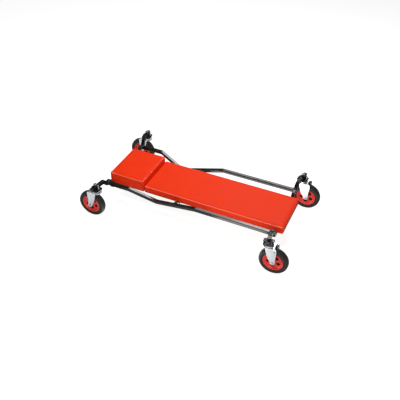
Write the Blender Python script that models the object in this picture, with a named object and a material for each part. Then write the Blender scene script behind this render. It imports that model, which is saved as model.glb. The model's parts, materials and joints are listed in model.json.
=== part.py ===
"""Mechanics creeper on four large swivel casters, with a fixed raised head cushion.

Metres, +Z up, floor at Z = 0.  +X points to the foot end, -X to the head end.
Every caster is built in its own frame: the origin is on the floor under its king bolt
and +X is the direction in which the wheel trails.
"""
import math

import bmesh
import bpy
from mathutils import Matrix, Vector

# ---------------------------------------------------------------- driving dimensions
GAP = 0.0003                    # clearance between pieces that touch
WELD_GAP = 0.001                # root gap where two frame tubes are welded

# overall layout
WHEELBASE = 1.280               # between the head and foot king bolts
TRACK_HEAD = 0.736              # between the left and right king bolts, head end
TRACK_FOOT = 0.718              # the same at the foot end

# square tube frame
TUBE = 0.025                    # outer size of the square tube
TUBE_WALL = 0.002
TUBE_CORNER = 0.003             # outer corner radius of the tube
BEND_RADIUS = 0.040             # centre-line radius of the rail bends
CROSS_BEND_RADIUS = 0.0135      # centre-line radius of the bends in the cross members
ARM_BEND_RADIUS = 0.015         # and in the arms
CROSS_X = 0.622                 # end cross members, from the middle of the creeper
MIDDLE_CROSS_X = -0.095
RAIL_CLEARANCE_HEAD = 0.063     # from the cushion's side to the side rail
RAIL_CLEARANCE_FOOT = 0.0565
RAIL_CLEARANCE_DIP = 0.0205     # at the bottom of the dip, where the rails pinch in
RAIL_TOP_HEAD = 0.230
RAIL_TOP_FOOT = 0.224
RAIL_TOP_DIP = 0.151
DIP_START_X = -0.442            # the rails leave the head level here
DIP_LOW_X = -0.249              # lowest point of the dip
DIP_END_X = 0.072               # the rails reach the foot level here

# deck and cushions
DECK_START_X = -0.6485          # head edge of the cushions
DECK_LENGTH = 1.326
HEAD_CUSHION_LENGTH = 0.2795
CUSHION_WIDTH = 0.345
CUSHION_THICKNESS = 0.0442
HEAD_CUSHION_THICKNESS = 0.0799
CUSHION_EDGE = 0.006            # rounding of the cushions' edges
CUSHION_BOTTOM_Z = 0.1685
BOARD_THICKNESS = 0.0094
BOARD_INSET = 0.020             # the board stops short of the cushions' edges

# caster wheel
WHEEL_RADIUS = 0.100
WHEEL_WIDTH = 0.050
RIM_SEAT_RADIUS = 0.060         # the tyre sits on this
RIM_FLANGE_RADIUS = 0.0685
RIM_WIDTH = 0.041
RIM_WALL = 0.0035
WEB_WIDTH = 0.022               # over the two pressed discs of the web
DISC_THICKNESS = 0.0025
WEB_HOLES = 5
WEB_HOLE_RADIUS = 0.0125
HUB_RADIUS = 0.015
HUB_WIDTH = 0.054
AXLE_RADIUS = 0.006
WHEEL_STEPS = 24                # facets round the rim and tyre

# caster fork
TRAIL = 0.045                   # wheel axle behind the king bolt
TYRE_CLEARANCE = 0.016          # from the tyre up to the fork crown
CROWN_THICKNESS = 0.004
LEG_THICKNESS = 0.0035
FORK_WIDTH = 0.066              # over the outsides of the legs
LEG_END_RADIUS = 0.0155         # round end of a leg around the axle
RACE_RADIUS = 0.0205
RACE_HEIGHT = 0.0114
TOP_PLATE_THICKNESS = 0.004
KING_RADIUS = 0.0075
KING_NUT_FLATS = 0.024
BRAKE_PIVOT_BACK = 0.0525       # brake pivot, behind the king bolt
BRAKE_PIVOT_RADIUS = 0.0045

# corner mounting
PLATE_SIZE = (0.072, 0.068)
PLATE_CORNER = 0.010
FRAME_PLATE_THICKNESS = 0.005
PLATE_BOLT_REACH = 0.029        # plate bolts, either side of the king bolt
PLATE_BOLT_RADIUS = 0.004
BOLT_FLATS = 0.013
ARM_OVERHANG = 0.041            # arm end beyond the king bolt
HOLE_CLEARANCE = 0.0005         # bolt holes are this much larger in radius

# ---------------------------------------------------------------- derived widths and levels
RAIL_SPREAD_HEAD = CUSHION_WIDTH + 2 * (RAIL_CLEARANCE_HEAD + TUBE)   # over the outsides
RAIL_SPREAD_FOOT = CUSHION_WIDTH + 2 * (RAIL_CLEARANCE_FOOT + TUBE)
RAIL_SPREAD_DIP = CUSHION_WIDTH + 2 * (RAIL_CLEARANCE_DIP + TUBE)
CROWN_BOTTOM_Z = 2 * WHEEL_RADIUS + TYRE_CLEARANCE
CROWN_TOP_Z = CROWN_BOTTOM_Z + CROWN_THICKNESS
RACE_TOP_Z = CROWN_TOP_Z + GAP + RACE_HEIGHT
TOP_PLATE_Z = RACE_TOP_Z + GAP
TOP_PLATE_TOP_Z = TOP_PLATE_Z + TOP_PLATE_THICKNESS
FRAME_PLATE_Z = TOP_PLATE_TOP_Z + GAP
FRAME_PLATE_TOP_Z = FRAME_PLATE_Z + FRAME_PLATE_THICKNESS
ARM_Z = FRAME_PLATE_TOP_Z + GAP + TUBE / 2
ARM_TOP_Z = ARM_Z + TUBE / 2
BOARD_TOP_Z = CUSHION_BOTTOM_Z - GAP
BOARD_BOTTOM_Z = BOARD_TOP_Z - BOARD_THICKNESS
CROSS_LOW_Z = BOARD_BOTTOM_Z - GAP - TUBE / 2
CORNER_HOLE_RADIUS = KING_RADIUS + HOLE_CLEARANCE

# ---------------------------------------------------------------- scene and materials


def clear_scene():
    for obj in list(bpy.data.objects):
        bpy.data.objects.remove(obj, do_unlink=True)


def make_material(name, colour, roughness, metallic=0.0):
    material = bpy.data.materials.new(name)
    material.use_nodes = True
    shader = material.node_tree.nodes["Principled BSDF"]
    shader.inputs["Base Color"].default_value = (*colour, 1.0)
    shader.inputs["Roughness"].default_value = roughness
    shader.inputs["Metallic"].default_value = metallic
    return material


def make_empty(name, location, turn=0.0, parent=None):
    empty = bpy.data.objects.new(name, None)
    bpy.context.scene.collection.objects.link(empty)
    empty.location = location
    empty.rotation_euler = (0.0, 0.0, turn)
    empty.parent = parent
    return empty


def place(name, mesh, material, parent=None, location=(0, 0, 0), turn=0.0):
    """One named sub-part; a mesh made once can be placed many times."""
    if not mesh.materials:
        mesh.materials.append(material)
    obj = bpy.data.objects.new(name, mesh)
    bpy.context.scene.collection.objects.link(obj)
    obj.parent = parent
    obj.location = location
    obj.rotation_euler = (0.0, 0.0, turn)
    return obj


# ---------------------------------------------------------------- mesh tools


def finish(bm, name, smooth_angle=35.0):
    bmesh.ops.recalc_face_normals(bm, faces=bm.faces)
    mesh = bpy.data.meshes.new(name)
    bm.to_mesh(mesh)
    bm.free()
    mesh.shade_smooth()
    mesh.set_sharp_from_angle(angle=math.radians(smooth_angle))
    return mesh


def bridge(bm, ring_a, ring_b):
    count = len(ring_a)
    for i in range(count):
        j = (i + 1) % count
        bm.faces.new((ring_a[i], ring_a[j], ring_b[j], ring_b[i]))


def rounded_rectangle(width, height, radius, steps=3):
    """Corner points of a rectangle with round corners, counter-clockwise."""
    points = []
    for quarter, (sx, sy) in enumerate(((1, 1), (-1, 1), (-1, -1), (1, -1))):
        centre = (sx * (width / 2 - radius), sy * (height / 2 - radius))
        for step in range(steps + 1):
            angle = math.pi / 2 * (quarter + step / steps)
            points.append((centre[0] + radius * math.cos(angle),
                           centre[1] + radius * math.sin(angle)))
    return points


def arc(centre, radius, start, end, steps):
    """Points along an arc, angles in degrees."""
    angles = [math.radians(start + (end - start) * i / steps) for i in range(steps + 1)]
    return [(centre[0] + radius * math.cos(a), centre[1] + radius * math.sin(a)) for a in angles]


def prism(name, outline, low, high, to_world):
    """Extrude a flat outline; to_world places its (u, v, w) axes."""
    bm = bmesh.new()
    base = [bm.verts.new(to_world @ Vector((u, v, low))) for u, v in outline]
    top = [bm.verts.new(to_world @ Vector((u, v, high))) for u, v in outline]
    bridge(bm, base, top)
    bm.faces.new(reversed(base))
    bm.faces.new(top)
    return finish(bm, name)


FLAT = Matrix.Identity(4)                                     # outline in XY, raised along Z
UPRIGHT = Matrix(((1, 0, 0, 0), (0, 0, 1, 0), (0, 1, 0, 0), (0, 0, 0, 1)))   # XZ, along Y


def hexagon_radius(flats, angle):
    sector = math.pi / 3
    return flats / 2 / math.cos(angle % sector - sector / 2)


def turned(name, stations, steps, axis="Z"):
    """Solid of revolution from (height, radius) stations; a radius in a tuple is a hexagon."""
    turn = Matrix.Rotation(-math.pi / 2, 4, "X") if axis == "Y" else Matrix.Identity(4)
    bm = bmesh.new()
    rings = []
    for height, radius in stations:
        ring = []
        for i in range(steps):
            angle = 2 * math.pi * i / steps
            reach = hexagon_radius(radius[0], angle) if isinstance(radius, tuple) else radius
            point = Vector((reach * math.cos(angle), reach * math.sin(angle), height))
            ring.append(bm.verts.new(turn @ point))
        rings.append(ring)
    for ring_a, ring_b in zip(rings, rings[1:]):
        bridge(bm, ring_a, ring_b)
    bm.faces.new(reversed(rings[0]))
    bm.faces.new(rings[-1])
    return finish(bm, name)


def turned_ring(name, section, steps, axis="Z"):
    """Solid of revolution from a closed (height, radius) section that misses the axis."""
    turn = Matrix.Rotation(-math.pi / 2, 4, "X") if axis == "Y" else Matrix.Identity(4)
    bm = bmesh.new()
    rings = []
    for i in range(steps):
        angle = 2 * math.pi * i / steps
        direction = Vector((math.cos(angle), math.sin(angle), 0.0))
        rings.append([bm.verts.new(turn @ (direction * r + Vector((0, 0, h)))) for h, r in section])
    for i in range(steps):
        bridge(bm, rings[i], rings[(i + 1) % steps])
    return finish(bm, name)


def bent_path(corners, radius, steps=3):
    """Replace each inner corner of a path by an arc of the given radius."""
    corners = [Vector(c) for c in corners]
    path = [corners[0]]
    for before, corner, after in zip(corners, corners[1:], corners[2:]):
        u = (before - corner).normalized()
        v = (after - corner).normalized()
        half = u.angle(v) / 2
        setback = radius / math.tan(half)
        centre = corner + (u + v).normalized() * radius / math.sin(half)
        start = corner + u * setback - centre
        sweep = math.pi - 2 * half
        normal = start.cross(v).normalized()
        for i in range(steps + 1):
            path.append(centre + Matrix.Rotation(sweep * i / steps, 3, normal) @ start)
    path.append(corners[-1])
    return path


def square_tube(name, path, blind_end=False):
    """Hollow square tube along a path; blind_end closes the far end with one wall."""
    outer = rounded_rectangle(TUBE, TUBE, TUBE_CORNER, 2)
    inner = rounded_rectangle(TUBE - 2 * TUBE_WALL, TUBE - 2 * TUBE_WALL, TUBE_CORNER - TUBE_WALL, 1)
    up = Vector((0, 0, 1))

    def section_at(bm, index, outline, setback=0.0):
        steps = [(path[k + 1] - path[k]).normalized() for k in (index - 1, index)
                 if 0 <= k < len(path) - 1]
        tangent = sum(steps, Vector()).normalized()
        side = up.cross(tangent).normalized()
        upright = tangent.cross(side)
        point = path[index] - tangent * setback
        return [bm.verts.new(point + side * u + upright * v) for u, v in outline]

    bm = bmesh.new()
    shell = [section_at(bm, i, outer) for i in range(len(path))]
    last = len(path) - 1
    bore = [section_at(bm, i, inner, TUBE_WALL if blind_end and i == last else 0.0)
            for i in range(len(path))]
    for ring_a, ring_b in zip(shell, shell[1:]):
        bridge(bm, ring_a, ring_b)
    for ring_a, ring_b in zip(bore, bore[1:]):
        bridge(bm, ring_b, ring_a)
    open_ends = [(shell[0], bore[0])]
    if blind_end:
        bm.faces.new(shell[-1])
        bm.faces.new(reversed(bore[-1]))
    else:
        open_ends.append((shell[-1], bore[-1]))
    for outer_ring, inner_ring in open_ends:
        edges = [bm.edges.get((ring[i], ring[(i + 1) % len(ring)]))
                 for ring in (outer_ring, inner_ring) for i in range(len(ring))]
        bmesh.ops.bridge_loops(bm, edges=edges)
    return finish(bm, name, 50.0)


def combine(name, base, others, operation):
    """Join other meshes to a base mesh, or cut them from it, and return one closed mesh."""
    body = bpy.data.objects.new(name, base)
    bpy.context.scene.collection.objects.link(body)
    tools = []
    for mesh in others:
        tool = bpy.data.objects.new(name + "_tool", mesh)
        bpy.context.scene.collection.objects.link(tool)
        tools.append(tool)
        modifier = body.modifiers.new("Boolean", "BOOLEAN")
        modifier.operation = operation
        modifier.solver = "EXACT"
        modifier.object = tool
    bpy.context.view_layer.update()
    result = bpy.data.meshes.new_from_object(body.evaluated_get(bpy.context.evaluated_depsgraph_get()))
    for obj in [body] + tools:
        bpy.data.objects.remove(obj, do_unlink=True)
    result.name = name
    result.shade_smooth()
    result.set_sharp_from_angle(angle=math.radians(35.0))
    return result


def hole(radius, low, high, centre=(0.0, 0.0), axis="Z", steps=16):
    """A cutter: a round bar along Z, or along Y where centre is (x, z)."""
    mesh = turned("hole", [(low, radius), (high, radius)], steps, axis)
    offset = (centre[0], 0.0, centre[1]) if axis == "Y" else (centre[0], centre[1], 0.0)
    mesh.transform(Matrix.Translation(offset))
    return mesh


# ---------------------------------------------------------------- frame


def rail_path(side):
    """Centre line of a side rail, from the head cross member to the foot cross member."""
    end_x = CROSS_X - TUBE / 2 - WELD_GAP
    head = (side * (RAIL_SPREAD_HEAD - TUBE) / 2, RAIL_TOP_HEAD - TUBE / 2)
    dip = (side * (RAIL_SPREAD_DIP - TUBE) / 2, RAIL_TOP_DIP - TUBE / 2)
    foot = (side * (RAIL_SPREAD_FOOT - TUBE) / 2, RAIL_TOP_FOOT - TUBE / 2)
    corners = [(-end_x, *head), (DIP_START_X, *head), (DIP_LOW_X, *dip), (DIP_END_X, *foot),
               (end_x, *foot)]
    return bent_path(corners, BEND_RADIUS)


def end_levels(end):
    """Rail spread and rail centre height at the head (-1) or foot (+1) end."""
    if end < 0:
        return RAIL_SPREAD_HEAD, RAIL_TOP_HEAD - TUBE / 2
    return RAIL_SPREAD_FOOT, RAIL_TOP_FOOT - TUBE / 2


def rail_level(x):
    """Spread over the rails and rail centre height where a rail crosses x (bends ignored)."""
    corners = [(DIP_LOW_X, RAIL_SPREAD_DIP, RAIL_TOP_DIP), (DIP_END_X, RAIL_SPREAD_FOOT, RAIL_TOP_FOOT)]
    (x0, spread0, top0), (x1, spread1, top1) = corners
    share = (x - x0) / (x1 - x0)
    return spread0 + share * (spread1 - spread0), top0 + share * (top1 - top0) - TUBE / 2


def cross_path(x, spread, rail_z):
    """A cross member drops from the rails and passes under the deck."""
    reach = spread / 2 - TUBE - WELD_GAP
    knee = reach - CROSS_BEND_RADIUS
    foot = CUSHION_WIDTH / 2 + 0.018
    corners = [(x, -reach, rail_z), (x, -knee, rail_z), (x, -foot, CROSS_LOW_Z),
               (x, foot, CROSS_LOW_Z), (x, knee, rail_z), (x, reach, rail_z)]
    return bent_path(corners, CROSS_BEND_RADIUS)


def arm_direction(end, side):
    """The arms splay outwards towards the casters."""
    return Vector((end * 0.176, side, 0.0)).normalized()


def arm_mesh(name, end, side):
    spread, rail_z = end_levels(end)
    king = king_position(end, side)
    direction = arm_direction(end, side)
    start_y = spread / 2 - TUBE
    knee_y = spread / 2 + 0.004
    elbow_y = knee_y + 0.023
    elbow = Vector((king.x, king.y, ARM_Z)) - direction * (abs(king.y) - elbow_y) / abs(direction.y)
    tip = Vector((king.x, king.y, ARM_Z)) + direction * ARM_OVERHANG
    corners = [(end * CROSS_X, side * start_y, rail_z), (end * CROSS_X, side * knee_y, rail_z),
               elbow, tip]
    tube = square_tube(name, bent_path(corners, ARM_BEND_RADIUS), blind_end=True)
    bore = hole(CORNER_HOLE_RADIUS, ARM_Z - TUBE, ARM_Z + TUBE, (king.x, king.y))
    return combine(name, tube, [bore], "DIFFERENCE")


def king_position(end, side):
    track = TRACK_HEAD if end < 0 else TRACK_FOOT
    return Vector((end * WHEELBASE / 2, side * track / 2, 0.0))


def corner_plate(name, low, high):
    outline = rounded_rectangle(PLATE_SIZE[0], PLATE_SIZE[1], PLATE_CORNER, 2)
    plate = prism(name, outline, low, high, FLAT)
    margin = high - low
    cutters = [hole(CORNER_HOLE_RADIUS, low - margin, high + margin, steps=12)]
    for side in (-1, 1):
        cutters.append(hole(PLATE_BOLT_RADIUS + HOLE_CLEARANCE, low - margin, high + margin,
                            (side * PLATE_BOLT_REACH, 0.0), steps=12))
    return combine(name, plate, cutters, "DIFFERENCE")


def plate_bolt(name):
    """Hexagon bolt with its nut, through the frame plate and the caster's top plate."""
    head_z = FRAME_PLATE_TOP_Z + GAP
    nut_z = TOP_PLATE_Z - GAP
    return turned(name, [(nut_z - 0.0055, PLATE_BOLT_RADIUS), (nut_z - 0.0055, (BOLT_FLATS,)),
                         (nut_z, (BOLT_FLATS,)), (nut_z, PLATE_BOLT_RADIUS),
                         (head_z, PLATE_BOLT_RADIUS), (head_z, (BOLT_FLATS,)),
                         (head_z + 0.008, (BOLT_FLATS,)), (head_z + 0.009, BOLT_FLATS * 0.44)], 12)


def king_bolt(name):
    """The swivel bolt: a round head under the crown and a nut on top of the arm."""
    head_z = CROWN_BOTTOM_Z - GAP
    nut_z = ARM_TOP_Z + GAP
    flats = (KING_NUT_FLATS,)
    return turned(name, [(head_z - 0.006, 0.0110), (head_z - 0.001, 0.0130), (head_z, 0.0130),
                         (head_z, KING_RADIUS), (nut_z, KING_RADIUS), (nut_z, flats),
                         (nut_z + 0.014, flats), (nut_z + 0.0155, KING_NUT_FLATS * 0.46),
                         (nut_z + 0.0155, KING_RADIUS), (nut_z + 0.019, KING_RADIUS * 0.9)], 12)


# ---------------------------------------------------------------- deck and cushions


def board_mesh(name):
    start = DECK_START_X + BOARD_INSET
    end = DECK_START_X + DECK_LENGTH - BOARD_INSET
    outline = [(x + (start + end) / 2, y) for x, y in
               rounded_rectangle(end - start, CUSHION_WIDTH - 2 * BOARD_INSET, 0.012)]
    return prism(name, outline, BOARD_BOTTOM_Z, BOARD_TOP_Z, FLAT)


def cushion_mesh(name, start, end, thickness):
    """A plain padded block: square at the board, round over its top edges and corners."""
    bm = bmesh.new()
    quarter = 4
    bottom = CUSHION_BOTTOM_Z
    top = bottom + thickness
    levels = [(bottom, 0.0)]
    for step in range(quarter + 1):
        angle = math.pi / 2 * step / quarter
        levels.append((top - CUSHION_EDGE * (1 - math.sin(angle)), CUSHION_EDGE * (1 - math.cos(angle))))
    rings = []
    for z, inset in levels:
        outline = rounded_rectangle(end - start - 2 * inset, CUSHION_WIDTH - 2 * inset,
                                    2 * CUSHION_EDGE - inset, 4)
        rings.append([bm.verts.new((x + (start + end) / 2, y, z)) for x, y in outline])
    for ring_a, ring_b in zip(rings, rings[1:]):
        bridge(bm, ring_a, ring_b)
    bm.faces.new(reversed(rings[0]))
    bm.faces.new(rings[-1])
    return finish(bm, name)


# ---------------------------------------------------------------- caster


def leg_outline(back):
    """Side view of a fork leg: from the crown down to a round end about the axle."""
    axle = (TRAIL + 0.001, WHEEL_RADIUS + 0.001)
    top = CROWN_TOP_Z
    drop = top - axle[1]
    front = [(-0.012, top), (-0.009, top - 0.15 * drop), (0.000, top - 0.45 * drop),
             (0.009, top - 0.68 * drop)]
    end = arc(axle, LEG_END_RADIUS, 205, 355, 8)
    rear = [(back, axle[1] + 0.36 * drop), (back + 0.0035, top - 0.024), (back + 0.002, top - 0.004),
            (back - 0.004, top)]
    return front + end + rear


def fork_mesh(name, back, braked):
    """Crown plate, two legs and the lower race cup, pressed and welded into one piece."""
    half = FORK_WIDTH / 2
    nose = arc((-0.012, 0.0), half, 270, 90, 10)
    crown_end = TRAIL - 0.001
    crown = prism("crown", [(crown_end, -half)] + nose + [(crown_end, half)],
                  CROWN_BOTTOM_Z, CROWN_TOP_Z, FLAT)
    outline = leg_outline(back)
    legs = [prism("leg", outline, side * half - (LEG_THICKNESS if side > 0 else 0.0),
                  side * half + (LEG_THICKNESS if side < 0 else 0.0), UPRIGHT) for side in (-1, 1)]
    cup = turned_ring("cup", [(CROWN_TOP_Z - 0.001, RACE_RADIUS + 0.001),
                              (CROWN_TOP_Z - 0.001, RACE_RADIUS + 0.007),
                              (CROWN_TOP_Z + 0.003, RACE_RADIUS + 0.005),
                              (CROWN_TOP_Z + 0.005, RACE_RADIUS + 0.003),
                              (CROWN_TOP_Z + 0.005, RACE_RADIUS + 0.001)], 24)
    body = combine(name, crown, legs + [cup], "UNION")
    cutters = [hole(CORNER_HOLE_RADIUS, CROWN_BOTTOM_Z - 0.01, CROWN_TOP_Z + 0.01),
               hole(AXLE_RADIUS + HOLE_CLEARANCE, -2 * half, 2 * half, (TRAIL, WHEEL_RADIUS), "Y")]
    if braked:
        cutters.append(hole(BRAKE_PIVOT_RADIUS + HOLE_CLEARANCE, -2 * half, 2 * half,
                            (BRAKE_PIVOT_BACK, brake_pivot_z()), "Y", 12))
    return combine(name, body, cutters, "DIFFERENCE")


def swivel_bearing(name):
    low = CROWN_TOP_Z + GAP
    high = RACE_TOP_Z
    return turned_ring(name, [(low, CORNER_HOLE_RADIUS), (low, RACE_RADIUS - 0.002),
                              (low + 0.002, RACE_RADIUS), (high - 0.002, RACE_RADIUS),
                              (high, RACE_RADIUS - 0.002), (high, CORNER_HOLE_RADIUS)], 16)


def axle_mesh(name):
    """Axle bolt with its head and nut outside the fork legs."""
    seat = FORK_WIDTH / 2 + GAP
    flats = (0.017,)
    return turned(name, [(-seat - 0.007, 0.0065), (-seat - 0.006, flats), (-seat, flats),
                         (-seat, AXLE_RADIUS), (seat, AXLE_RADIUS), (seat, flats),
                         (seat + 0.008, flats), (seat + 0.008, AXLE_RADIUS),
                         (seat + 0.010, AXLE_RADIUS * 0.8)], 12, "Y")


def rim_mesh(name):
    """Hub, two-disc web and tyre seat in one piece, with round openings through both discs."""
    hub = HUB_WIDTH / 2
    web = WEB_WIDTH / 2
    rim = RIM_WIDTH / 2
    bore = AXLE_RADIUS + HOLE_CLEARANCE
    under = RIM_SEAT_RADIUS - RIM_WALL
    half = [(hub, bore), (hub, HUB_RADIUS), (web, HUB_RADIUS + 0.003), (web, under - 0.003),
            (web + 0.003, under), (rim - 0.004, under + 0.001),
            (rim, RIM_FLANGE_RADIUS - 0.001), (rim - 0.003, RIM_FLANGE_RADIUS),
            (rim - 0.0045, RIM_SEAT_RADIUS)]
    section = half + [(-h, r) for h, r in reversed(half)]
    body = turned_ring(name, section, WHEEL_STEPS, "Y")
    pitch = (HUB_RADIUS + under) / 2 + 0.001
    inside = web - DISC_THICKNESS
    cutters = [turned_ring("cavity", [(-inside, HUB_RADIUS + 0.003), (inside, HUB_RADIUS + 0.003),
                                      (inside, under - 0.003), (-inside, under - 0.003)],
                           WHEEL_STEPS, "Y")]
    for i in range(WEB_HOLES):
        angle = 2 * math.pi * (i + 0.27) / WEB_HOLES
        cutters.append(hole(WEB_HOLE_RADIUS, -2 * web, 2 * web,
                            (pitch * math.cos(angle), pitch * math.sin(angle)), "Y", 10))
    return combine(name, body, cutters, "DIFFERENCE")


def tyre_mesh(name):
    """Ribbed pneumatic tyre section, seated between the rim flanges."""
    seat = RIM_SEAT_RADIUS + GAP
    bead = RIM_WIDTH / 2 - 0.0048
    flange = RIM_FLANGE_RADIUS + 0.001
    half = WHEEL_WIDTH / 2
    right = [(bead, seat), (bead, flange), (bead + 0.004, flange + 0.0015)]
    shoulder = WHEEL_RADIUS - 0.022
    for step in range(6):
        angle = math.pi / 2 * step / 5
        right.append((half * math.cos(angle) ** 0.8 if step < 5 else 0.0,
                      shoulder + 0.022 * math.sin(angle)))
    left = [(-h, r) for h, r in reversed(right[:-1])]
    return turned_ring(name, right + left, WHEEL_STEPS, "Y")


def brake_pivot_z():
    return CROWN_BOTTOM_Z - 0.017


def brake_mesh(name):
    """Toe lever: two cheeks on stub pins inside the legs, a strap over the tyre and a tab."""
    x, z = BRAKE_PIVOT_BACK, brake_pivot_z()
    outer = FORK_WIDTH / 2 - LEG_THICKNESS - 0.0005
    inner = outer - 0.0025
    strap_z = z + 0.007
    parts = []
    for side in (-1, 1):
        low, high = sorted((side * inner, side * outer))
        cheek = arc((x, z), 0.008, 180, 360, 8) + [(x + 0.012, strap_z + 0.003), (x - 0.008, strap_z + 0.003)]
        parts.append(prism("cheek", cheek, low, high, UPRIGHT))
        low, high = sorted((side * (inner + 0.001), side * (FORK_WIDTH / 2 + 0.001)))
        parts.append(hole(BRAKE_PIVOT_RADIUS, low, high, (x, z), "Y", 12))
    parts.append(prism("tab", [(x - 0.003, strap_z + 0.001), (x + 0.0105, strap_z + 0.001),
                               (x + 0.0105, strap_z + 0.034), (x - 0.003, strap_z + 0.034)],
                       -0.004, 0.004, UPRIGHT))
    strap = prism("strap", [(x - 0.008, strap_z), (x + 0.0135, strap_z), (x + 0.0135, strap_z + 0.003),
                            (x - 0.008, strap_z + 0.003)], -outer, outer, UPRIGHT)
    return combine(name, strap, parts, "UNION")


# ---------------------------------------------------------------- assembly


def build_frame(black, red, wood):
    for side, label in ((-1, "near"), (1, "far")):
        place("side_rail_" + label, square_tube("side_rail", rail_path(side)), black)
    for end, label in ((-1, "head"), (1, "foot")):
        path = cross_path(end * CROSS_X, *end_levels(end))
        place("cross_member_" + label, square_tube("cross_member", path), black)
    spread = rail_level(MIDDLE_CROSS_X - TUBE)[0]      # clear of the slanting rails
    path = cross_path(MIDDLE_CROSS_X, spread, rail_level(MIDDLE_CROSS_X)[1])
    place("cross_member_middle", square_tube("cross_member_middle", path), black)
    place("deck_board", board_mesh("deck_board"), wood)
    seam_x = DECK_START_X + HEAD_CUSHION_LENGTH
    end_x = DECK_START_X + DECK_LENGTH
    place("head_cushion", cushion_mesh("head_cushion", DECK_START_X, seam_x - GAP / 2,
                                       HEAD_CUSHION_THICKNESS), red)
    place("main_cushion", cushion_mesh("main_cushion", seam_x + GAP / 2, end_x,
                                       CUSHION_THICKNESS), red)


def build_corner(label, end, side, meshes, materials):
    """Arm, plates, bolts and one caster.  Head casters trail to -X, foot casters to +X."""
    king = king_position(end, side)
    direction = arm_direction(end, side)
    turn = math.atan2(direction.y, direction.x) - side * math.pi / 2
    black, zinc, steel, rubber, red, grey = materials
    place("arm_" + label, arm_mesh("arm_" + label, end, side), black)
    mount = make_empty("mount_" + label, king, turn)
    place("arm_plate_" + label, meshes["arm_plate"], black, mount)
    place("top_plate_" + label, meshes["top_plate"], zinc, mount)
    for bolt_side, bolt_label in ((-1, "a"), (1, "b")):
        place("plate_bolt_%s_%s" % (label, bolt_label), meshes["plate_bolt"], black, mount,
              (bolt_side * PLATE_BOLT_REACH, 0, 0))
    place("swivel_bearing_" + label, meshes["swivel_bearing"], steel, mount)
    place("king_bolt_" + label, meshes["king_bolt"], black, mount)

    swivel = make_empty("swivel_" + label, king, 0.0 if end > 0 else math.pi)
    braked = end > 0
    place("fork_" + label, meshes["fork_braked" if braked else "fork_plain"], zinc, swivel)
    axle = make_empty("axle_" + label, (TRAIL, 0, WHEEL_RADIUS), parent=swivel)
    place("axle_bolt_" + label, meshes["axle"], steel, axle)
    place("rim_" + label, meshes["rim"], red, axle)
    place("tyre_" + label, meshes["tyre"], rubber, axle)
    if braked:
        pivot = make_empty("pivot_" + label, (BRAKE_PIVOT_BACK, 0, brake_pivot_z()), parent=swivel)
        lever = place("brake_lever_" + label, meshes["brake"], grey, pivot)
        lever.location = (-BRAKE_PIVOT_BACK, 0, -brake_pivot_z())


def main():
    clear_scene()
    black = make_material("black_gloss_paint", (0.012, 0.013, 0.012), 0.22)
    red_vinyl = make_material("red_vinyl", (0.80, 0.055, 0.018), 0.45)
    wood = make_material("dark_board", (0.06, 0.045, 0.035), 0.7)
    zinc = make_material("zinc_plate", (0.78, 0.80, 0.82), 0.3, 1.0)
    steel = make_material("bright_steel", (0.62, 0.63, 0.64), 0.3, 1.0)
    rubber = make_material("tyre_rubber", (0.022, 0.022, 0.021), 0.75)
    red_paint = make_material("red_paint", (0.62, 0.018, 0.010), 0.35)
    grey = make_material("dark_grey_steel", (0.16, 0.16, 0.155), 0.45)
    meshes = {
        "arm_plate": corner_plate("arm_plate", FRAME_PLATE_Z, FRAME_PLATE_TOP_Z),
        "top_plate": corner_plate("top_plate", TOP_PLATE_Z, TOP_PLATE_TOP_Z),
        "plate_bolt": plate_bolt("plate_bolt"),
        "king_bolt": king_bolt("king_bolt"),
        "swivel_bearing": swivel_bearing("swivel_bearing"),
        "fork_plain": fork_mesh("fork_plain", 0.054, False),
        "fork_braked": fork_mesh("fork_braked", 0.0615, True),
        "axle": axle_mesh("axle_bolt"),
        "rim": rim_mesh("rim"),
        "tyre": tyre_mesh("tyre"),
        "brake": brake_mesh("brake_lever"),
    }
    build_frame(black, red_vinyl, wood)
    materials = (black, zinc, steel, rubber, red_paint, grey)
    for end, end_label in ((-1, "head"), (1, "foot")):
        for side, side_label in ((-1, "near"), (1, "far")):
            build_corner("%s_%s" % (end_label, side_label), end, side, meshes, materials)


main()
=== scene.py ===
"""Finishes and fine pieces for the mechanics creeper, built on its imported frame."""
import json
import math
import random

import bmesh
import bpy
from mathutils import Matrix, Vector


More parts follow.
